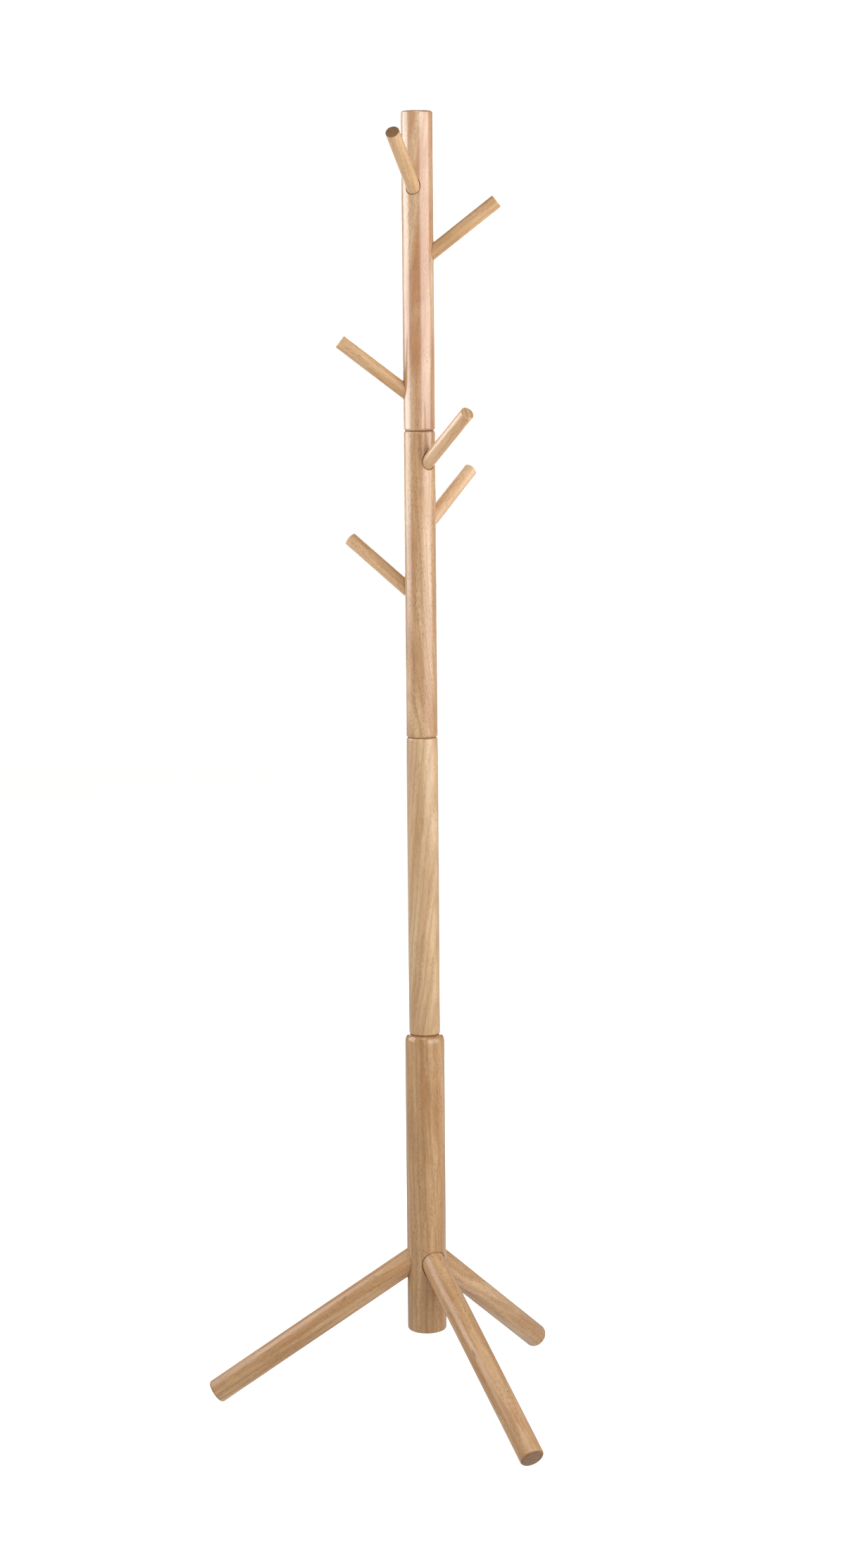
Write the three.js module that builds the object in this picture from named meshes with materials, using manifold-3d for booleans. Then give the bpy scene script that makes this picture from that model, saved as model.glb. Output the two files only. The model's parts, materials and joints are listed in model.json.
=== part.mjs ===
// Standing coat rack: four turned wood sections screwed end to end, six slanted pegs and
// three splayed legs. Every piece screws into the next with a stud and a threaded insert.
// Millimetres, +Z up. The origin is on the post's axis at floor level; the front is -Y.
import * as THREE from 'three';
import { mergeVertices } from 'three/addons/utils/BufferGeometryUtils.js';
import Module from 'manifold-3d';

// Post: the sections from the bottom up. An ease is how far an edge is rounded, across and along
const UNDERSIDE_HEIGHT = 105.5;
const BASE_RADIUS = 26.75;
const BASE_LENGTH = 416;
const POLE_RADIUS = 21;
const LOWER_LENGTH = 407;
const MIDDLE_LENGTH = 408.5;
const TOP_LENGTH = 415;
const SHOULDER_HEIGHT = 11.5;
const SHOULDER_TOP_RADIUS = 20.6;
const SECTION_EASE = [1.54, 3.08];
const TOP_EASE = [3, 3];
const UNDERSIDE_EASE = 4;

// Legs: angles from vertical, lengths from the post's axis
const LEG_COUNT = 3;
const LEG_RADIUS = 16.8;
const LEG_TILT = 55;
const LEG_REACH = 359.3;
const LEG_ROOT = 19;
const LEG_EASE = 4;
const LEG_ROOT_EASE = 1;
const FIRST_LEG_AZIMUTH = 177.5;
const LEG_NAMES = ['leg_left', 'leg_front', 'leg_back'];

// Pegs: azimuth in degrees, height where the peg's axis crosses the post's axis
const PEG_RADIUS = 9.3;
const PEG_TILT = 52.4;
const PEG_REACH = 131.3;
const PEG_ROOT = 15;
const PEG_EASE = 1;
const TOP_PEGS = [
  { name: 'peg_top_front', azimuth: 252.5, height: 1640.4 },
  { name: 'peg_top_right', azimuth: 355, height: 1555 },
  { name: 'peg_top_left', azimuth: 185, height: 1374.6 },
];
const MIDDLE_PEGS = [
  { name: 'peg_middle_front', azimuth: 307, height: 1282.3 },
  { name: 'peg_middle_right', azimuth: 49, height: 1200.8 },
  { name: 'peg_middle_left', azimuth: 154.5, height: 1111.4 },
];

// Threads: the studs are bedded in the piece that screws in, the inserts in the other one
const POLE_THREAD = { stud: 5, insert: 7.5, engaged: 18, bedded: 24 };
const LEG_THREAD = { stud: 4, insert: 6, engaged: 8.75, bedded: 26 };
const PEG_THREAD = { stud: 3, insert: 5, engaged: 12, bedded: 20 };
const THREAD_GAP = 0.3;
const BED_GAP = 0.25;
const POCKET_GAP = 0.4;
const FACE_GAP = 0.3;
const INSERT_RECESS = 0.1;

const ROUND_STEPS = 48;
const PEG_STEPS = 36;
const METAL_STEPS = 20;
const EASE_STEPS = 3;

// How far a cutting shape runs past the face it opens, and how near two corners are one
const CUT_OVERLAP = 1;
const SAME_CORNER = 1e-4;

const wasm = await Module();
wasm.setup();

function toManifold(geometry) {
  const bare = geometry.clone();
  bare.deleteAttribute('normal');
  bare.deleteAttribute('uv');
  const merged = mergeVertices(bare, SAME_CORNER);
  return new wasm.Manifold(new wasm.Mesh({
    numProp: 3,
    vertProperties: new Float32Array(merged.attributes.position.array),
    triVerts: new Uint32Array(merged.index.array),
  }));
}

function fromManifold(solid) {
  const mesh = solid.getMesh();
  const geometry = new THREE.BufferGeometry();
  geometry.setAttribute('position', new THREE.BufferAttribute(new Float32Array(mesh.vertProperties), 3));
  geometry.setIndex(new THREE.BufferAttribute(new Uint32Array(mesh.triVerts), 1));
  geometry.computeVertexNormals();
  return geometry;
}

// Turns a profile of [radius, height] points about +Z; the profile runs from the bottom up
function turned(profile, steps = ROUND_STEPS) {
  const points = profile.map(([radius, height]) => new THREE.Vector2(radius, height));
  const geometry = new THREE.LatheGeometry(points, steps);
  geometry.rotateX(Math.PI / 2);
  return geometry;
}

// Quarter-ellipse from angle 0 (widest) to 90 degrees (the end face), as [radius, height] points
function easedEdge(radius, height, across, along) {
  const points = [];
  for (let step = 0; step <= EASE_STEPS; step += 1) {
    const angle = (step / EASE_STEPS) * Math.PI / 2;
    points.push([radius - across + across * Math.cos(angle), height - along + along * Math.sin(angle)]);
  }
  return points;
}

// A rod along +Z from start to end with its two edges eased by [across, along]
function rod(radius, start, end, startEase, endEase, steps = ROUND_STEPS) {
  const bottom = easedEdge(radius, 0, startEase[0], startEase[1]).reverse()
    .map(([r, z]) => [r, start - z]);
  const top = easedEdge(radius, end, endEase[0], endEase[1]);
  return turned([[0, start], ...bottom, ...top, [0, end]], steps);
}

function plainRod(radius, start, end, steps = METAL_STEPS) {
  return turned([[0, start], [radius, start], [radius, end], [0, end]], steps);
}

function sleeve(bore, radius, start, end) {
  const profile = [[bore, start], [radius, start], [radius, end], [bore, end], [bore, start]];
  return turned(profile, METAL_STEPS);
}

// Matrix that carries +Z onto a direction tilted from vertical by tilt towards an azimuth
function slanted(azimuth, tilt, height) {
  const matrix = new THREE.Matrix4().makeRotationZ(THREE.MathUtils.degToRad(azimuth));
  matrix.multiply(new THREE.Matrix4().makeRotationY(THREE.MathUtils.degToRad(tilt)));
  matrix.setPosition(0, 0, height);
  return matrix;
}

const materials = {
  base: { color: 0xbf9468, roughness: 0.42 },
  lower: { color: 0xd9b98c, roughness: 0.4 },
  middle: { color: 0xd6b083, roughness: 0.4 },
  top: { color: 0xc79264, roughness: 0.38 },
  leg: { color: 0xc89c6c, roughness: 0.42 },
  peg: { color: 0xd3ae7c, roughness: 0.5 },
  steel: { color: 0x9a9da0, roughness: 0.35, metalness: 1 },
  zinc: { color: 0xb9a878, roughness: 0.45, metalness: 1 },
};

const group = new THREE.Group();

function addMesh(parent, name, geometry, look) {
  const mesh = new THREE.Mesh(geometry, new THREE.MeshStandardMaterial(materials[look]));
  mesh.name = name;
  parent.add(mesh);
}

// Hole for one slanted piece: a pocket for its root, and a narrower bed for the insert below it.
// The pocket's cutting shape runs on for the whole reach of the piece, so it opens the post's side
function slantedHole(matrix, root, reach, radius, thread) {
  const pocket = plainRod(radius + POCKET_GAP, root, reach, ROUND_STEPS);
  const bed = plainRod(thread.insert + BED_GAP, root - thread.engaged - BED_GAP, root + CUT_OVERLAP);
  pocket.applyMatrix4(matrix);
  bed.applyMatrix4(matrix);
  return toManifold(pocket).add(toManifold(bed));
}

// One piece that screws in along +Z: the wood, its stud, and the insert that stays behind
function addSlanted(name, matrix, wood, root, thread, look) {
  const holder = new THREE.Group();
  matrix.decompose(holder.position, holder.quaternion, holder.scale);
  const start = root + FACE_GAP;
  const bed = plainRod(thread.stud + BED_GAP, start - CUT_OVERLAP, start + thread.bedded + BED_GAP);
  addMesh(holder, name, fromManifold(toManifold(wood).subtract(toManifold(bed))), look);
  const stud = plainRod(thread.stud, root - thread.engaged + BED_GAP, start + thread.bedded);
  addMesh(holder, `${name}_stud`, stud, 'steel');
  const rim = root - INSERT_RECESS;
  const insert = sleeve(thread.stud + THREAD_GAP, thread.insert, root - thread.engaged, rim);
  addMesh(holder, `${name}_insert`, insert, 'zinc');
  group.add(holder);
}

const legs = LEG_NAMES.map((name, index) => {
  const azimuth = FIRST_LEG_AZIMUTH + (index * 360) / LEG_COUNT;
  const tilt = THREE.MathUtils.degToRad(LEG_TILT);
  const inner = LEG_REACH - LEG_EASE;
  const height = inner * Math.cos(tilt) + (LEG_RADIUS - LEG_EASE) * Math.sin(tilt) + LEG_EASE;
  return { name, matrix: slanted(azimuth, 180 - LEG_TILT, height) };
});

function pegMatrix(peg) {
  return slanted(peg.azimuth, PEG_TILT, peg.height);
}

// One post section: eased rod, bed for the stud of its own lower end, bed for the insert in its top
function section(name, look, outline, bottom, top, pegs, isRoot, isTop) {
  let solid = toManifold(outline);
  const thread = POLE_THREAD;
  if (!isRoot) {
    const bed = plainRod(thread.stud + BED_GAP, bottom - CUT_OVERLAP, bottom + thread.bedded + BED_GAP);
    solid = solid.subtract(toManifold(bed));
    const stud = plainRod(thread.stud, bottom - thread.engaged + BED_GAP, bottom + thread.bedded);
    addMesh(group, `${name}_stud`, stud, 'steel');
  }
  if (!isTop) {
    const floor = top - thread.engaged - FACE_GAP;
    const bed = plainRod(thread.insert + BED_GAP, floor - BED_GAP, top + CUT_OVERLAP);
    solid = solid.subtract(toManifold(bed));
    const insert = sleeve(thread.stud + THREAD_GAP, thread.insert, floor, top - INSERT_RECESS);
    addMesh(group, `${name}_insert`, insert, 'zinc');
  }
  for (const peg of pegs) {
    solid = solid.subtract(slantedHole(pegMatrix(peg), PEG_ROOT, PEG_REACH, PEG_RADIUS, PEG_THREAD));
  }
  if (isRoot) {
    for (const leg of legs) {
      solid = solid.subtract(slantedHole(leg.matrix, LEG_ROOT, LEG_REACH, LEG_RADIUS, LEG_THREAD));
    }
  }
  addMesh(group, name, fromManifold(solid), look);
}

const baseTop = UNDERSIDE_HEIGHT + BASE_LENGTH;
const lowerTop = baseTop + LOWER_LENGTH;
const middleTop = lowerTop + MIDDLE_LENGTH;
const postTop = middleTop + TOP_LENGTH;

const baseOutline = turned([
  [0, UNDERSIDE_HEIGHT],
  ...easedEdge(BASE_RADIUS, 0, UNDERSIDE_EASE, UNDERSIDE_EASE).reverse()
    .map(([r, z]) => [r, UNDERSIDE_HEIGHT - z]),
  ...easedEdge(BASE_RADIUS, baseTop, BASE_RADIUS - SHOULDER_TOP_RADIUS, SHOULDER_HEIGHT),
  [0, baseTop],
]);
section('base_post', 'base', baseOutline, UNDERSIDE_HEIGHT, baseTop, [], true, false);

const poles = [
  ['lower_pole', 'lower', baseTop, lowerTop, SECTION_EASE, []],
  ['middle_pole', 'middle', lowerTop, middleTop, SECTION_EASE, MIDDLE_PEGS],
  ['top_pole', 'top', middleTop, postTop, TOP_EASE, TOP_PEGS],
];
for (const [name, look, bottom, top, topEase, pegs] of poles) {
  const start = bottom + FACE_GAP;
  const outline = rod(POLE_RADIUS, start, top, SECTION_EASE, topEase);
  section(name, look, outline, start, top, pegs, false, name === 'top_pole');
}

for (const peg of [...TOP_PEGS, ...MIDDLE_PEGS]) {
  const ease = [PEG_EASE, PEG_EASE];
  const wood = rod(PEG_RADIUS, PEG_ROOT + FACE_GAP, PEG_REACH, ease, ease, PEG_STEPS);
  addSlanted(peg.name, pegMatrix(peg), wood, PEG_ROOT, PEG_THREAD, 'peg');
}

for (const leg of legs) {
  const rootEase = [LEG_ROOT_EASE, LEG_ROOT_EASE];
  const wood = rod(LEG_RADIUS, LEG_ROOT + FACE_GAP, LEG_REACH, rootEase, [LEG_EASE, LEG_EASE]);
  addSlanted(leg.name, leg.matrix, wood, LEG_ROOT, LEG_THREAD, 'leg');
}

export default group;
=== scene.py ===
import json
import math
import bmesh
import bpy
from mathutils import Euler, Matrix, Vector


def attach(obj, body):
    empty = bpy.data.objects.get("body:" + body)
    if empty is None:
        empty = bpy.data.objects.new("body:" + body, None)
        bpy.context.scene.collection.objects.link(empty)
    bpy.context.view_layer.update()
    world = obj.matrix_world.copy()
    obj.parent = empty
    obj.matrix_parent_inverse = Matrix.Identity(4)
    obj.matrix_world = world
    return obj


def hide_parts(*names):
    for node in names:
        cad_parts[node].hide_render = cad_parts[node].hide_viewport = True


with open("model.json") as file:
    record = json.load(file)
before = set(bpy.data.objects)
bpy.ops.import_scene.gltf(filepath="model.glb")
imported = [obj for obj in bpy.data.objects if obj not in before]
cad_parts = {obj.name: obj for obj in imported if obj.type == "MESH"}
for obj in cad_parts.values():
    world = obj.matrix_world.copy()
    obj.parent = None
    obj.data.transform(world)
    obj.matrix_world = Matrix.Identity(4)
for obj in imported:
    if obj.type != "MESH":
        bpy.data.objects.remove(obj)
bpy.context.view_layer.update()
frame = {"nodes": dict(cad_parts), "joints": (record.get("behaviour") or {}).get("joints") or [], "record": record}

joints = {joint["name"]: joint for joint in frame["joints"]}
millimetre = 0.001
upward = Vector((0, 0, 1))
postCentre = Vector((0, 0, 0))
nearEnough = 0.02 * millimetre    # heights and radii closer than this count as the same
overrun = 1 * millimetre          # how far a cutter runs past the face that it cuts
squareOn = 0.99                   # least share of an end face's normal along the axis


# Modelling steps that every piece uses. A piece is shaped upright at the origin, with the
# distances that its CAD node has along its own axis, and is then put on that axis

def selectNothing():
    if bpy.context.object and bpy.context.object.mode != "OBJECT":
        bpy.ops.object.mode_set(mode="OBJECT")
    bpy.ops.object.select_all(action="DESELECT")


def makeActive(piece):
    selectNothing()
    piece.select_set(True)
    bpy.context.view_layer.objects.active = piece


def measureAlong(node, origin, axis):
    along, across = [], []
    for vertex in frame["nodes"][node].data.vertices:
        offset = vertex.co - origin
        along.append(offset.dot(axis))
        across.append((offset - axis * offset.dot(axis)).length)
    return {"start": min(along), "end": max(along), "radius": max(across), "bore": min(across)}


def axisOf(name):
    joint = joints[f"{name}_screw"]
    return Vector(joint["pos_m"]), Vector(joint["axis"]).normalized()


def placeOnAxis(origin, axis, turn=0):
    return (Matrix.Translation(origin)
            @ upward.rotation_difference(axis).to_matrix().to_4x4()
            @ Matrix.Rotation(turn, 4, "Z"))


def startRod(name, radius, start, end, sides):
    selectNothing()
    bpy.ops.mesh.primitive_cylinder_add(vertices=sides, radius=radius, depth=end - start,
                                        location=(0, 0, (start + end) / 2))
    piece = bpy.context.object
    piece.name = name
    piece.data.name = name
    bpy.ops.object.transform_apply(location=True, rotation=True, scale=True)
    return piece


def editPick(piece, kind, wanted):
    # leaves the piece in edit mode, with only the wanted faces or edges selected
    makeActive(piece)
    bpy.ops.object.mode_set(mode="EDIT")
    bpy.ops.mesh.select_mode(type=kind)
    bpy.ops.mesh.select_all(action="DESELECT")
    mesh = bmesh.from_edit_mesh(piece.data)
    picked = [part for part in (mesh.faces if kind == "FACE" else mesh.edges) if wanted(part)]
    if not picked:
        raise RuntimeError(f"nothing to select on {piece.name}")
    for part in picked:
        part.select_set(True)
    mesh.select_flush_mode()
    bmesh.update_edit_mesh(piece.data)


def isRim(edge, height):
    # at this height, and running round the axis, not across the end face
    first, second = [math.hypot(v.co.x, v.co.y) for v in edge.verts]
    level = all(abs(v.co.z - height) < nearEnough for v in edge.verts)
    return level and abs(first - second) < nearEnough


def easeRim(piece, height, width, segments):
    editPick(piece, "EDGE", lambda edge: isRim(edge, height))
    bpy.ops.mesh.bevel(offset=width, segments=segments, profile=0.5, affect="EDGES",
                       clamp_overlap=True)
    selectNothing()


def turnEnd(piece, height, side, across, along, steps):
    # carries an end face on by along while drawing it in by across, as a quarter ellipse;
    # side is 1 for the upper end and -1 for the lower
    editPick(piece, "FACE", lambda face: face.normal.z * side > squareOn
             and abs(face.calc_center_median().z - height) < nearEnough)
    radius = max(math.hypot(v.co.x, v.co.y) for v in piece.data.vertices)
    z, reach = height, radius
    for step in range(1, steps + 1):
        angle = step / steps * math.pi / 2
        nextZ = height + side * along * math.sin(angle)
        nextReach = radius - across * (1 - math.cos(angle))
        bpy.ops.mesh.extrude_region_move(TRANSFORM_OT_translate={"value": (0, 0, nextZ - z)})
        share = nextReach / reach
        bpy.ops.transform.resize(value=(share, share, 1), center_override=(0, 0, nextZ))
        z, reach = nextZ, nextReach
    selectNothing()


def putInPlace(piece, matrix):
    piece.matrix_world = matrix
    makeActive(piece)
    bpy.ops.object.transform_apply(location=True, rotation=True, scale=True)
    return piece


def cutWith(piece, cutters):
    for cutter in cutters:
        boolean = piece.modifiers.new("cut", "BOOLEAN")
        boolean.operation = "DIFFERENCE"
        boolean.solver = "EXACT"
        boolean.object = cutter
        makeActive(piece)
        bpy.ops.object.modifier_apply(modifier=boolean.name)
        bpy.data.objects.remove(cutter)


def copyPiece(piece, name):
    copy = piece.copy()
    copy.data = piece.data.copy()
    copy.name = name
    copy.data.name = name
    bpy.context.scene.collection.objects.link(copy)
    return copy


def finishPiece(piece, node, body, material, sharpAngle=32):
    makeActive(piece)
    bpy.ops.object.shade_smooth_by_angle(angle=math.radians(sharpAngle))
    piece.data.materials.clear()
    piece.data.materials.append(material)
    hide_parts(node)
    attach(piece, body)


# Materials

def linear(hexColour):
    channels = [int(hexColour[i:i + 2], 16) / 255 for i in (0, 2, 4)]
    return [c / 12.92 if c <= 0.04045 else ((c + 0.055) / 1.055) ** 2.4 for c in channels] + [1]


def addNode(tree, kind, settings, inputs):
    node = tree.nodes.new(kind)
    for name, value in settings.items():
        setattr(node, name, value)
    for key, value in inputs.items():
        if isinstance(value, bpy.types.NodeSocket):
            tree.links.new(value, node.inputs[key])
        else:
            node.inputs[key].default_value = value
    return node


# Rubberwood, turned and sanded, under a satin clear lacquer. The eye sees a straw to light
# brown ground in long soft bands that lean a little off the piece's own axis, a few growth
# rings that run out into arches, fine fibre, and short brown pores in loose groups. The lacquer
# gives broad whitish highlights
rubberwoodGrain = {
    "ringSpacing": 8 * millimetre, "ringUnevenness": 0.7,
    # slow bends in the trunk, over about 300 mm
    "bendSize": (8, 8, 3.2), "bendReach": 34 * millimetre,
    # each pattern: how often it repeats in a metre across, across and along the grain, then
    # the noise's detail and roughness
    "patterns": {
        "band": ((75, 75, 4.2), 2.5, 0.5),        # 13 mm wide and 240 mm long
        "blotch": ((26, 26, 7), 2, 0.5),          # patches 40 mm wide and 140 mm long
        "streak": ((330, 330, 14), 3, 0.6),       # 3 mm wide and 70 mm long
        "fibre": ((950, 950, 75), 2, 0.6),        # real ones are under 0.1 mm: drawn 1 mm, to show
        "poreGroup": ((120, 120, 16), 2, 0.5),    # 8 mm wide and 60 mm long
    },
    # real pores are 0.3 mm wide: drawn 0.7 mm wide and 4 mm long, to show
    "poreSize": (900, 900, 150), "poreDepth": 1.2,
    "knotSize": (1, 1, 0.25),                     # a knot's mark is 4 times as long as wide
    "bumpDepth": 0.15 * millimetre, "bumpStrength": 0.3,
    "ior": 1.5,
}


def rubberwood(name, look, origin, axis):
    grain = rubberwoodGrain
    material = bpy.data.materials.new(name)
    material.use_nodes = True
    tree = material.node_tree
    shader = tree.nodes["Principled BSDF"]

    # from the object to the trunk that the piece was sawn from, with its pith along Z
    place = addNode(tree, "ShaderNodeTexCoord", {}, {})
    lean = Euler([math.radians(angle) for angle in look["lean"]]).to_matrix()
    turn = (upward.rotation_difference(axis).to_matrix() @ lean).to_euler()
    along = addNode(tree, "ShaderNodeMapping", {"vector_type": "TEXTURE"},
                    {"Vector": place.outputs["Object"], "Location": origin,
                     "Rotation": turn}).outputs[0]
    trunk = addNode(tree, "ShaderNodeVectorMath", {"operation": "ADD"},
                    {0: along, 1: look["cut"]}).outputs[0]
    bendAt = addNode(tree, "ShaderNodeMapping", {},
                     {"Vector": trunk, "Scale": grain["bendSize"]}).outputs[0]
    bend = addNode(tree, "ShaderNodeTexNoise", {},
                   {"Vector": bendAt, "Scale": 1, "Detail": 3}).outputs["Color"]
    centred = addNode(tree, "ShaderNodeVectorMath", {"operation": "SUBTRACT"},
                      {0: bend, 1: (0.5, 0.5, 0.5)}).outputs[0]
    reach = grain["bendReach"]
    wavy = addNode(tree, "ShaderNodeVectorMath", {"operation": "MULTIPLY_ADD"},
                   {0: centred, 1: (reach, reach, 0), 2: trunk}).outputs[0]

    # the patterns, all stretched along the grain
    seen = {}
    for pattern, (size, detail, roughness) in grain["patterns"].items():
        stretched = addNode(tree, "ShaderNodeMapping", {}, {"Vector": wavy, "Scale": size})
        seen[pattern] = addNode(tree, "ShaderNodeTexNoise", {},
                                {"Vector": stretched.outputs[0], "Scale": 1,
                                 "Detail": detail, "Roughness": roughness}).outputs["Fac"]
    # a ring wave repeats every pi / 10 at scale 1
    seen["ring"] = addNode(tree, "ShaderNodeTexWave",
                           {"wave_type": "RINGS", "rings_direction": "Z", "wave_profile": "SIN"},
                           {"Vector": wavy, "Scale": math.pi / 10 / grain["ringSpacing"],
                            "Distortion": grain["ringUnevenness"], "Detail": 2,
                            "Detail Scale": 0.6}).outputs["Fac"]
    poreAt = addNode(tree, "ShaderNodeMapping", {}, {"Vector": wavy, "Scale": grain["poreSize"]})
    seen["pore"] = addNode(tree, "ShaderNodeTexVoronoi", {},
                           {"Vector": poreAt.outputs[0], "Scale": 1}).outputs["Distance"]
    endOn = addNode(tree, "ShaderNodeVectorMath", {"operation": "DOT_PRODUCT"},
                    {0: place.outputs["Normal"], 1: axis}).outputs["Value"]
    seen["end"] = addNode(tree, "ShaderNodeMath", {"operation": "ABSOLUTE"},
                          {0: endOn}).outputs[0]

    # shares and tones: the pattern, what it runs from and to, and what that becomes
    lines, fibres = look["streaks"], look["fibre"]
    ramps = {
        "banded": ("band", 0.36, 0.64, 0, 1),
        "ringed": ("ring", 0.45, 1, 0, look["rings"]),
        "blotched": ("blotch", 0.5, 0.66, 0, look["blotches"]),
        "streakTone": ("streak", 0.36, 0.64, 1 - lines, 1 + lines),
        "fibreTone": ("fibre", 0.34, 0.66, 1 - fibres, 1 + fibres),
        "poreShape": ("pore", 0.2, 0.4, 1, 0),
        "poreShare": ("poreGroup", 0.42, 0.62, look["pores"] * 0.25, look["pores"]),
        "endRinged": ("ring", 0.2, 1, 0, 0.45),
        "endTone": ("streak", 0.36, 0.64, 0.86, 1.14),
        "ended": ("end", 0.3, 0.9, 0, look["endShare"]),
        "rough": ("fibre", 0.25, 0.75, look["roughness"] - 0.05, look["roughness"] + 0.05),
    }
    ramp = {}
    for result, (pattern, low, high, lowOut, highOut) in ramps.items():
        ramp[result] = addNode(tree, "ShaderNodeMapRange", {},
                               {"Value": seen[pattern], "From Min": low, "From Max": high,
                                "To Min": lowOut, "To Max": highOut}).outputs[0]
    pored = addNode(tree, "ShaderNodeMath", {"operation": "MULTIPLY"},
                    {0: ramp["poreShape"], 1: ramp["poreShare"]}).outputs[0]
    sideTone = addNode(tree, "ShaderNodeMath", {"operation": "MULTIPLY"},
                       {0: ramp["streakTone"], 1: ramp["fibreTone"]}).outputs[0]

    # end grain, and the eased rims beside it, which take up more lacquer and look darker; on the front top peg the
    # dark end colour is also painted shade
    dark = linear(look["pore"])
    endRings = addNode(tree, "ShaderNodeMix", {"data_type": "RGBA"},
                       {0: ramp["endRinged"], 6: linear(look["endGrain"]), 7: dark}).outputs[2]
    end = addNode(tree, "ShaderNodeVectorMath", {"operation": "SCALE"},
                  {0: endRings, "Scale": ramp["endTone"]}).outputs[0]

    # the long sides, layer by layer
    wood = linear(look["pale"])
    for result, over in (("banded", "deep"), ("ringed", "ring"), ("blotched", "blotch")):
        wood = addNode(tree, "ShaderNodeMix", {"data_type": "RGBA"},
                       {0: ramp[result], 6: wood, 7: linear(look[over])}).outputs[2]
    wood = addNode(tree, "ShaderNodeVectorMath", {"operation": "SCALE"},
                   {0: wood, "Scale": sideTone}).outputs[0]
    covers = [(pored, dark), (ramp["ended"], end)]
    if "knot" in look:
        fromKnot = addNode(tree, "ShaderNodeVectorMath", {"operation": "SUBTRACT"},
                           {0: along, 1: look["knot"]}).outputs[0]
        longKnot = addNode(tree, "ShaderNodeVectorMath", {"operation": "MULTIPLY"},
                           {0: fromKnot, 1: grain["knotSize"]}).outputs[0]
        away = addNode(tree, "ShaderNodeVectorMath", {"operation": "LENGTH"},
                       {0: longKnot}).outputs["Value"]
        knotted = addNode(tree, "ShaderNodeMapRange", {},
                          {"Value": away, "From Min": look["knotCore"],
                           "From Max": look["knotRadius"], "To Min": look["knotShare"],
                           "To Max": 0}).outputs[0]
        covers.append((knotted, dark))
    for share, over in covers:
        wood = addNode(tree, "ShaderNodeMix", {"data_type": "RGBA"},
                       {0: share, 6: wood, 7: over}).outputs[2]
    relief = addNode(tree, "ShaderNodeMath", {"operation": "MULTIPLY_ADD"},
                     {0: pored, 1: -grain["poreDepth"], 2: seen["fibre"]}).outputs[0]
    bump = addNode(tree, "ShaderNodeBump", {},
                   {"Height": relief, "Strength": grain["bumpStrength"],
                    "Distance": grain["bumpDepth"]}).outputs[0]
    tree.links.new(wood, shader.inputs["Base Color"])
    tree.links.new(ramp["rough"], shader.inputs["Roughness"])
    tree.links.new(bump, shader.inputs["Normal"])

    # the lacquer gives most of the gloss, and the wood under it a soft haze
    shader.inputs["IOR"].default_value = grain["ior"]
    shader.inputs["Specular IOR Level"].default_value = look["haze"]
    shader.inputs["Coat Weight"].default_value = look["lacquer"]
    shader.inputs["Coat Roughness"].default_value = look["satin"]
    shader.inputs["Coat IOR"].default_value = look["coatIor"]
    return material


# Zinc-plated steel with a rolled thread: bright, cool grey, with patches duller than others.
# Die-cast zinc, yellow-passivated: dull straw-coloured metal with a fine cast grain.
# marks and patches are how many there are in a metre, and bump is how deep the marks are
metals = {
    "zincPlatedSteel": {
        "dark": "a3a8ad", "light": "cdd0d4", "marks": 900, "patches": 150,
        "smooth": 0.24, "dull": 0.42, "bump": 0.02 * millimetre,
    },
    "passivatedZinc": {
        "dark": "a08d60", "light": "cdbf92", "marks": 1500, "patches": 250,
        "smooth": 0.36, "dull": 0.56, "bump": 0.05 * millimetre,
    },
    "bumpStrength": 0.4,
}


def metal(name):
    look = metals[name]
    material = bpy.data.materials.new(name)
    material.use_nodes = True
    tree = material.node_tree
    shader = tree.nodes["Principled BSDF"]
    place = addNode(tree, "ShaderNodeTexCoord", {}, {}).outputs["Object"]
    marks = addNode(tree, "ShaderNodeTexNoise", {},
                    {"Vector": place, "Scale": look["marks"], "Detail": 3}).outputs["Fac"]
    patches = addNode(tree, "ShaderNodeTexNoise", {},
                      {"Vector": place, "Scale": look["patches"], "Detail": 2}).outputs["Fac"]
    share = addNode(tree, "ShaderNodeMapRange", {},
                    {"Value": patches, "From Min": 0.35, "From Max": 0.65}).outputs[0]
    colour = addNode(tree, "ShaderNodeMix", {"data_type": "RGBA"},
                     {0: share, 6: linear(look["dark"]), 7: linear(look["light"])}).outputs[2]
    rough = addNode(tree, "ShaderNodeMapRange", {},
                    {"Value": marks, "From Min": 0.3, "From Max": 0.7,
                     "To Min": look["smooth"], "To Max": look["dull"]}).outputs[0]
    bump = addNode(tree, "ShaderNodeBump", {},
                   {"Height": marks, "Strength": metals["bumpStrength"],
                    "Distance": look["bump"]}).outputs[0]
    tree.links.new(colour, shader.inputs["Base Color"])
    tree.links.new(rough, shader.inputs["Roughness"])
    tree.links.new(bump, shader.inputs["Normal"])
    shader.inputs["Metallic"].default_value = 1
    return material


steelMaterial = metal("zincPlatedSteel")
insertMaterial = metal("passivatedZinc")

# Camera: at eye height, looking slightly down, with a slight lean
viewpoint = {
    "distance": 4.322, "height": 1.5095, "pitch": 8.49, "roll": -0.51,
    "lens": 74.63, "sensor": 36,
}


def setCamera():
    camera = bpy.data.objects.new("viewCamera", bpy.data.cameras.new("viewCamera"))
    bpy.context.scene.collection.objects.link(camera)
    camera.data.sensor_width = viewpoint["sensor"]
    camera.data.lens = viewpoint["lens"]
    camera.matrix_world = (Matrix.Translation((0, -viewpoint["distance"], viewpoint["height"]))
                           @ Matrix.Rotation(math.radians(90 - viewpoint["pitch"]), 4, "X")
                           @ Matrix.Rotation(math.radians(viewpoint["roll"]), 4, "Z"))
    bpy.context.scene.camera = camera


setCamera()
print("camera set")

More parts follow.
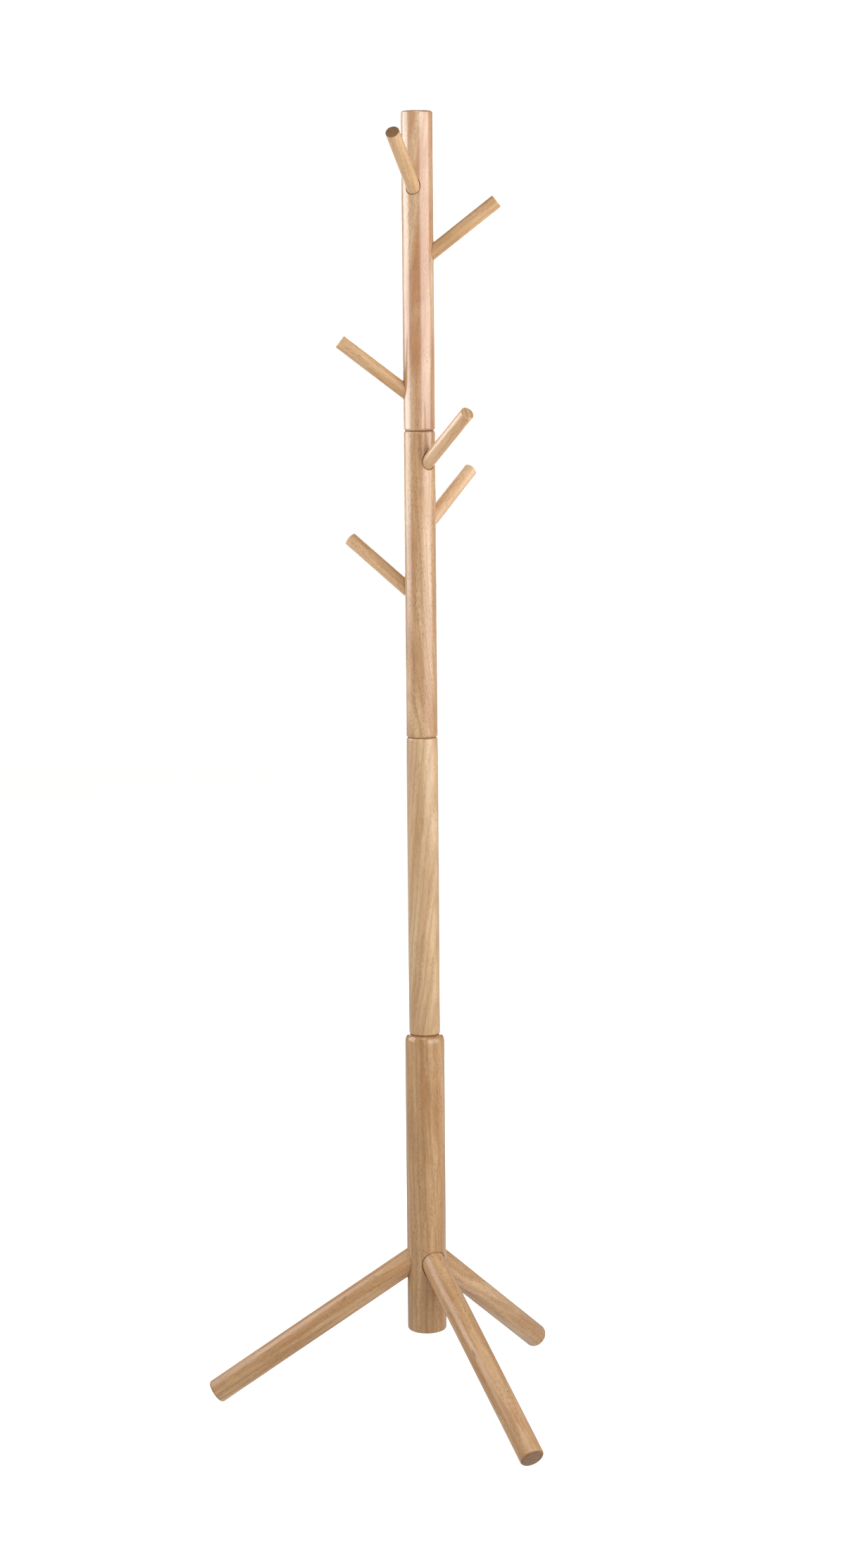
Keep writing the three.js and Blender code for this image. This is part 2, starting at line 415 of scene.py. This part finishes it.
# Studio: white paper that curves up all round from the floor, a tall soft box on each side,
# one behind for the far side, and a large dim one above. The boxes stop short of the floor, so
# the base has no bright stripe
studio = {
    "paper": {
        "radius": 9, "height": 8, "cove": 3, "sides": 96, "coveSteps": 16, "smoothAngle": 30,
        "colour": "f2f1ef", "roughness": 0.95, "glowColour": "ffffff", "glow": 0.76,
    },
    # the pale floor sends more light up than comes down from the room; low and high are the
    # directions between which one turns into the other
    "air": {"below": 0.66, "above": 0.25, "low": -0.35, "high": 0.15, "colour": "fdfbf8"},
    "boxColour": "f8faff",
    # azimuth runs to the right from the camera's side, and aim is the height that a box faces
    "boxes": {
        "rightBox": {"azimuth": 54, "distance": 2.4, "centre": 1.6, "aim": 1.6,
                     "wide": 3.4, "tall": 2.2, "power": 66},
        "leftBox": {"azimuth": -95, "distance": 2.1, "centre": 1.9, "aim": 1.9,
                    "wide": 1.9, "tall": 2.1, "power": 42},
        "backBox": {"azimuth": 180, "distance": 3, "centre": 1.6, "aim": 1.6,
                    "wide": 2, "tall": 2.2, "power": 40},
        "topBox": {"azimuth": -10, "distance": 2.6, "centre": 4.4, "aim": 1.05,
                   "wide": 2.6, "tall": 1.8, "power": 34},
    },
}


def setPaper():
    sheet = studio["paper"]
    selectNothing()
    bpy.ops.mesh.primitive_cylinder_add(vertices=sheet["sides"], radius=sheet["radius"],
                                        depth=sheet["height"],
                                        location=(0, 0, sheet["height"] / 2))
    paper = bpy.context.object
    paper.name = "studioPaper"
    bpy.ops.object.transform_apply(location=True, rotation=True, scale=True)
    editPick(paper, "FACE", lambda face: face.normal.z > squareOn)
    bpy.ops.mesh.delete(type="FACE")
    editPick(paper, "EDGE", lambda edge: isRim(edge, 0))
    bpy.ops.mesh.bevel(offset=sheet["cove"], segments=sheet["coveSteps"], profile=0.5,
                       affect="EDGES", clamp_overlap=False)
    bpy.ops.mesh.select_all(action="SELECT")
    bpy.ops.mesh.flip_normals()
    makeActive(paper)
    bpy.ops.object.shade_smooth_by_angle(angle=math.radians(sheet["smoothAngle"]))
    # it takes shadows, but adds no light of its own to the rack
    paper.visible_diffuse = False
    paper.visible_glossy = False
    surface = bpy.data.materials.new("backdropPaper")
    surface.use_nodes = True
    shader = surface.node_tree.nodes["Principled BSDF"]
    shader.inputs["Base Color"].default_value = linear(sheet["colour"])
    shader.inputs["Roughness"].default_value = sheet["roughness"]
    shader.inputs["Emission Color"].default_value = linear(sheet["glowColour"])
    shader.inputs["Emission Strength"].default_value = sheet["glow"]
    paper.data.materials.append(surface)


def setAir():
    air = studio["air"]
    world = bpy.data.worlds.new("studioAir")
    world.use_nodes = True
    tree = world.node_tree
    background = tree.nodes["Background"]
    background.inputs["Color"].default_value = linear(air["colour"])
    direction = addNode(tree, "ShaderNodeTexCoord", {}, {}).outputs["Generated"]
    height = addNode(tree, "ShaderNodeSeparateXYZ", {}, {0: direction}).outputs["Z"]
    strength = addNode(tree, "ShaderNodeMapRange", {},
                       {"Value": height, "From Min": air["low"], "From Max": air["high"],
                        "To Min": air["below"], "To Max": air["above"]}).outputs[0]
    tree.links.new(strength, background.inputs["Strength"])
    bpy.context.scene.world = world


def setBoxes():
    for name, box in studio["boxes"].items():
        light = bpy.data.lights.new(name, "AREA")
        light.shape = "RECTANGLE"
        light.size = box["wide"]
        light.size_y = box["tall"]
        light.energy = box["power"]
        light.color = linear(studio["boxColour"])[:3]
        lamp = bpy.data.objects.new(name, light)
        bpy.context.scene.collection.objects.link(lamp)
        lamp.visible_camera = False
        turn = math.radians(box["azimuth"])
        lamp.location = (math.sin(turn) * box["distance"], -math.cos(turn) * box["distance"],
                         box["centre"])
        towards = Vector((0, 0, box["aim"])) - lamp.location
        lamp.rotation_mode = "QUATERNION"
        lamp.rotation_quaternion = towards.to_track_quat("-Z", "Y")


setPaper()
setAir()
setBoxes()
bpy.context.scene.view_settings.view_transform = "Standard"
print("studio set")

# Room that a hole leaves: round a root in its pocket, under the root, and round hardware
fit = {
    "pocket": 0.9 * millimetre, "face": 0.3 * millimetre, "bed": 0.25 * millimetre,
    "pocketSides": 128, "sleeveSides": 64, "bedSides": 48,
}


def slantedCutters(name):
    # the pocket for the root of a leg or peg, and the bed of its insert in the pocket's floor
    origin, axis = axisOf(name)
    wood = measureAlong(name, origin, axis)
    insert = measureAlong(f"{name}_insert", origin, axis)
    floor = wood["start"] - fit["face"]
    pocket = startRod("pocketCutter", wood["radius"] + fit["pocket"], floor, wood["end"],
                      fit["pocketSides"])
    bed = startRod("bedCutter", insert["radius"] + fit["bed"], insert["start"] - fit["bed"],
                   floor + overrun, fit["bedSides"])
    return [putInPlace(cutter, placeOnAxis(origin, axis)) for cutter in (pocket, bed)]


def studCutter(name):
    # the bore in the lower end or root of a piece, where its stud is bedded
    origin, axis = axisOf(name)
    wood = measureAlong(name, origin, axis)
    stud = measureAlong(f"{name}_stud", origin, axis)
    return startRod("studCutter", stud["radius"] + fit["bed"], wood["start"] - overrun,
                    stud["end"] + fit["bed"], fit["bedSides"])


def sleeveCutter(node, top):
    # the bore in the upper end of a section, where its insert is bedded
    sleeve = measureAlong(f"{node}_insert", postCentre, upward)
    return startRod("insertCutter", sleeve["radius"] + fit["bed"],
                    sleeve["start"] - fit["bed"], top + overrun, fit["sleeveSides"])


# The four sections of the post. Each end is eased by (across, along). cut is where in the
# trunk the wood comes from, in metres from the pith, and lean is how far its grain runs off
# the axis, in degrees, so that each section shows its own figure
post = {"sides": 192, "easeSteps": 8}
sectionEase = (2.1 * millimetre, 3.6 * millimetre)
postSections = {
    "base_post": {
        "piece": "basePost", "body": "base", "slot": "base_wood",
        "lowerEnd": (4 * millimetre, 4 * millimetre),
        "upperEnd": (6.15 * millimetre, 11.5 * millimetre),
        "pockets": ["leg_left", "leg_front", "leg_back"],
        "cut": (0.062, -0.018, 0.2), "lean": (1.5, -1, 0),
        "pale": "d3a877", "deep": "bb8c5a", "ring": "ac7c4b", "blotch": "b17a44",
        "pore": "7a502c", "endGrain": "a8703f", "endShare": 0.55,
        "rings": 0.4, "blotches": 0.5, "streaks": 0.07, "fibre": 0.1, "pores": 0.6,
        "roughness": 0.5, "haze": 0.2, "lacquer": 0.95, "satin": 0.22, "coatIor": 1.65,
    },
    "lower_pole": {
        "piece": "lowerPole", "body": "lower_pole", "slot": "lower_pole_wood",
        "lowerEnd": sectionEase, "upperEnd": sectionEase,
        "pockets": [],
        "cut": (-0.048, 0.03, 1.1), "lean": (3, 5, 0),
        "pale": "e1be92", "deep": "cba273", "ring": "be9264", "blotch": "c49468",
        "pore": "8f6136", "endGrain": "ad7845", "endShare": 0.6,
        "rings": 0.45, "blotches": 0.5, "streaks": 0.055, "fibre": 0.08, "pores": 0.45,
        "roughness": 0.5, "haze": 0.4, "lacquer": 0.9, "satin": 0.25, "coatIor": 1.5,
    },
    "middle_pole": {
        "piece": "middlePole", "body": "middle_pole", "slot": "middle_pole_wood",
        "lowerEnd": sectionEase, "upperEnd": sectionEase,
        "pockets": ["peg_middle_front", "peg_middle_right", "peg_middle_left"],
        "cut": (0.035, 0.05, 2.3), "lean": (2, -3, 0),
        "pale": "dfb88a", "deep": "c49465", "ring": "b68453", "blotch": "b5814c",
        "pore": "7a5029", "endGrain": "a06a3a", "endShare": 0.65,
        "rings": 0.4, "blotches": 0.55, "streaks": 0.06, "fibre": 0.105, "pores": 0.75,
        "roughness": 0.5, "haze": 0.4, "lacquer": 0.95, "satin": 0.22, "coatIor": 1.65,
    },
    "top_pole": {
        "piece": "topPole", "body": "top_pole", "slot": "top_pole_wood",
        "lowerEnd": sectionEase, "upperEnd": (3 * millimetre, 3 * millimetre),
        "pockets": ["peg_top_front", "peg_top_right", "peg_top_left"],
        "cut": (0.04, -0.03, 3.5), "lean": (-1.5, 2.5, 0),
        "pale": "e3bf97", "deep": "cea072", "ring": "be8857", "blotch": "b8773f",
        "pore": "7c4c27", "endGrain": "a06434", "endShare": 0.65,
        "rings": 0.45, "blotches": 0.7, "streaks": 0.06, "fibre": 0.1, "pores": 0.5,
        "roughness": 0.5, "haze": 0.6, "lacquer": 1.0, "satin": 0.2, "coatIor": 1.8,
    },
}


def makePost():
    for node, section in postSections.items():
        size = measureAlong(node, postCentre, upward)
        lowerAcross, lowerAlong = section["lowerEnd"]
        upperAcross, upperAlong = section["upperEnd"]
        lowerEase, upperEase = size["start"] + lowerAlong, size["end"] - upperAlong
        piece = startRod(section["piece"], size["radius"], lowerEase, upperEase, post["sides"])
        turnEnd(piece, upperEase, 1, upperAcross, upperAlong, post["easeSteps"])
        turnEnd(piece, lowerEase, -1, lowerAcross, lowerAlong, post["easeSteps"])
        cutters = []
        if node != "base_post":
            cutters.append(studCutter(node))
        if f"{node}_insert" in frame["nodes"]:
            cutters.append(sleeveCutter(node, size["end"]))
        for name in section["pockets"]:
            cutters.extend(slantedCutters(name))
        cutWith(piece, cutters)
        material = rubberwood(f"rubberwood_{section['piece']}", section, postCentre, upward)
        finishPiece(piece, node, section["body"], material)
        print("made", section["piece"], len(piece.data.polygons), "faces")


makePost()

# Legs and pegs: one of each is turned and copied, and each copy is cut from its own wood.
# turn, in radians, sets which side of the copy faces up. A knot is given by its place along
# the grain from the post's axis
legs = {
    "slot": "leg_wood", "sides": 128,
    "rootEase": 1 * millimetre, "rootSegments": 3, "endEase": 4 * millimetre, "endSegments": 7,
    "look": {
        "pale": "e0b78b", "deep": "c79969", "ring": "b88757", "blotch": "bc8752",
        "pore": "7a502c", "endGrain": "835c38", "endShare": 0.8,
        "rings": 0.4, "blotches": 0.5, "streaks": 0.07, "fibre": 0.1, "pores": 0.6,
        "roughness": 0.5, "haze": 0.25, "lacquer": 0.75, "satin": 0.24, "coatIor": 1.5,
    },
    "copies": {
        "leg_left": {"piece": "legLeft", "turn": 0.6,
                     "cut": (0.05, 0.012, 0.4), "lean": (1.5, 2, 0)},
        "leg_front": {"piece": "legFront", "turn": 2.1,
                      "cut": (-0.03, 0.044, 1.9), "lean": (-2, 1, 0),
                      "knot": (-0.0199, -0.0045, 0.1886), "knotCore": 0.4 * millimetre,
                      "knotRadius": 2.6 * millimetre, "knotShare": 0.75},
        "leg_back": {"piece": "legBack", "turn": 4.0,
                     "cut": (0.02, -0.06, 3.1), "lean": (2, -2, 0)},
    },
}
pegs = {
    "slot": "peg_wood", "sides": 96,
    "rootEase": 0.8 * millimetre, "rootSegments": 3, "endEase": 1 * millimetre, "endSegments": 4,
    "look": {
        "pale": "e3bd90", "deep": "d2a676", "ring": "c39464", "blotch": "c99662",
        "pore": "8a5f37", "endGrain": "d0a473", "endShare": 0.8,
        "rings": 0.35, "blotches": 0.45, "streaks": 0.06, "fibre": 0.08, "pores": 0.5,
        "roughness": 0.52, "haze": 0.4, "lacquer": 0.5, "satin": 0.3, "coatIor": 1.5,
    },
    "copies": {
        # this peg's dark end colour is partly painted shade: its end faces the camera, away from the boxes, and is
        # drawn darker than the other pegs' ends
        "peg_top_front": {"piece": "pegTopFront", "turn": 0,
                          "cut": (0.03, 0.02, 0.2), "lean": (1, 2, 0),
                          "endGrain": "84603f", "endShare": 0.95},
        "peg_top_right": {"piece": "pegTopRight", "turn": 1.2,
                          "cut": (-0.04, 0.01, 0.9), "lean": (-2, 1, 0),
                          "pale": "dbb485", "deep": "c99d6b"},
        "peg_top_left": {"piece": "pegTopLeft", "turn": 2.2,
                         "cut": (0.02, -0.05, 1.4), "lean": (2, 0, 0)},
        "peg_middle_front": {"piece": "pegMiddleFront", "turn": 3.1,
                             "cut": (0.055, 0.03, 2.0), "lean": (0, -3, 0),
                             "pale": "e9bf92", "deep": "d6a675",
                             "lacquer": 0.95, "satin": 0.2, "coatIor": 1.7},
        "peg_middle_right": {"piece": "pegMiddleRight", "turn": 4.4,
                             "cut": (-0.02, -0.04, 2.7), "lean": (1, -1, 0),
                             "pale": "efcba2", "deep": "dfb78b"},
        "peg_middle_left": {"piece": "pegMiddleLeft", "turn": 5.2,
                            "cut": (0.035, -0.02, 3.3), "lean": (-1, 2, 0)},
    },
}


def makeSlanted(kind):
    first = next(iter(kind["copies"]))
    origin, axis = axisOf(first)
    wood = measureAlong(first, origin, axis)
    model = startRod("turnedModel", wood["radius"], wood["start"], wood["end"], kind["sides"])
    easeRim(model, wood["end"], kind["endEase"], kind["endSegments"])
    easeRim(model, wood["start"], kind["rootEase"], kind["rootSegments"])
    cutWith(model, [studCutter(first)])
    for node, copy in kind["copies"].items():
        origin, axis = axisOf(node)
        piece = copyPiece(model, copy["piece"])
        putInPlace(piece, placeOnAxis(origin, axis, copy["turn"]))
        look = {**kind["look"], **copy}
        material = rubberwood(f"rubberwood_{copy['piece']}", look, origin, axis)
        finishPiece(piece, node, node, material)
        print("made", copy["piece"])
    bpy.data.objects.remove(model)


makeSlanted(legs)
makeSlanted(pegs)

# Studs and inserts: hidden at rest, seen when a piece is unscrewed. Shares are of the
# thread's pitch, or of the insert's wall
hardware = {
    "kinds": {
        "pole": {"names": ["lower_pole", "middle_pole", "top_pole"], "pitch": 1.5 * millimetre},
        "leg": {"names": list(legs["copies"]), "pitch": 1.25 * millimetre},
        "peg": {"names": list(pegs["copies"]), "pitch": 1.0 * millimetre},
    },
    "stud": {
        "slot": "stud_steel", "coreSides": 40, "tipEase": 0.5 * millimetre, "easeSegments": 2,
        "threadDepthShare": 0.6, "firstToothShare": 0.6, "stepsPerTurn": 24,
        "turnsInWood": 2,    # the thread runs this far on, out of sight
    },
    "insert": {
        "slot": "insert_alloy", "sides": 48, "floor": 1 * millimetre,
        "easeShare": 0.25, "easeSegments": 2,
    },
}


def camelName(name):
    first, *others = name.split("_")
    return first + "".join(word.capitalize() for word in others)


def insertBelow(name):
    # the insert that a stud turns in belongs to the pocket, or to the section below
    below = {"lower_pole": "base_post", "middle_pole": "lower_pole", "top_pole": "middle_pole"}
    return f"{below.get(name, name)}_insert"


def nodeBody(node):
    bodies = frame["record"]["behaviour"]["bodies"]
    return next(body for body, nodes in bodies.items() if node in nodes)


def makeStud(kind):
    look = hardware["stud"]
    name = kind["names"][0]
    origin, axis = axisOf(name)
    stud = measureAlong(f"{name}_stud", origin, axis)
    wood = measureAlong(name, origin, axis)
    pitch = kind["pitch"]
    depth = pitch * look["threadDepthShare"]
    coreRadius = stud["radius"] - depth
    core = startRod("studModel", coreRadius, stud["start"], stud["end"], look["coreSides"])
    easeRim(core, stud["start"], look["tipEase"], look["easeSegments"])
    easeRim(core, stud["end"], look["tipEase"], look["easeSegments"])

    # one tooth of the thread, wound round the core by a screw modifier
    selectNothing()
    toothHeight = stud["start"] + pitch * look["firstToothShare"]
    bpy.ops.mesh.primitive_circle_add(vertices=3, radius=depth, fill_type="NOTHING",
                                      location=(coreRadius, 0, toothHeight),
                                      rotation=(math.radians(90), 0, 0))
    tooth = bpy.context.object
    bpy.ops.object.transform_apply(location=True, rotation=True, scale=True)
    wound = tooth.modifiers.new("wind", "SCREW")
    wound.axis = "Z"
    wound.screw_offset = pitch
    wound.iterations = int((wood["start"] - stud["start"]) / pitch) + look["turnsInWood"]
    wound.steps = look["stepsPerTurn"]
    wound.render_steps = look["stepsPerTurn"]
    bpy.ops.object.modifier_apply(modifier=wound.name)

    # close the two ends of the thread, and join it to the core
    bpy.ops.object.mode_set(mode="EDIT")
    bpy.ops.mesh.select_mode(type="EDGE")
    bpy.ops.mesh.select_all(action="DESELECT")
    bpy.ops.mesh.select_non_manifold()
    bpy.ops.mesh.edge_face_add()
    bpy.ops.mesh.select_all(action="SELECT")
    bpy.ops.mesh.normals_make_consistent(inside=False)
    selectNothing()
    core.select_set(True)
    tooth.select_set(True)
    bpy.context.view_layer.objects.active = core
    bpy.ops.object.join()
    return core


def makeInsert(kind):
    look = hardware["insert"]
    name = kind["names"][0]
    origin, axis = axisOf(name)
    sleeve = measureAlong(insertBelow(name), origin, axis)
    model = startRod("insertModel", sleeve["radius"], sleeve["start"], sleeve["end"],
                     look["sides"])
    wall = sleeve["radius"] - sleeve["bore"]
    editPick(model, "FACE", lambda face: face.normal.z > squareOn)
    bpy.ops.mesh.inset(thickness=wall, depth=0)
    drop = sleeve["end"] - sleeve["start"] - look["floor"]
    bpy.ops.mesh.extrude_region_move(TRANSFORM_OT_translate={"value": (0, 0, -drop)})
    selectNothing()
    easeRim(model, sleeve["end"], wall * look["easeShare"], look["easeSegments"])
    return model


def makeHardware():
    for label, kind in hardware["kinds"].items():
        stud = makeStud(kind)
        insert = makeInsert(kind)
        for name in kind["names"]:
            origin, axis = axisOf(name)
            place = placeOnAxis(origin, axis)
            newStud = putInPlace(copyPiece(stud, f"{camelName(name)}Stud"), place)
            finishPiece(newStud, f"{name}_stud", f"{name}_stud",
                        steelMaterial)
            newInsert = putInPlace(copyPiece(insert, f"{camelName(name)}Insert"), place)
            below = insertBelow(name)
            finishPiece(newInsert, below, nodeBody(below),
                        insertMaterial)
        bpy.data.objects.remove(stud)
        bpy.data.objects.remove(insert)
        print("made the studs and inserts for each", label)


makeHardware()
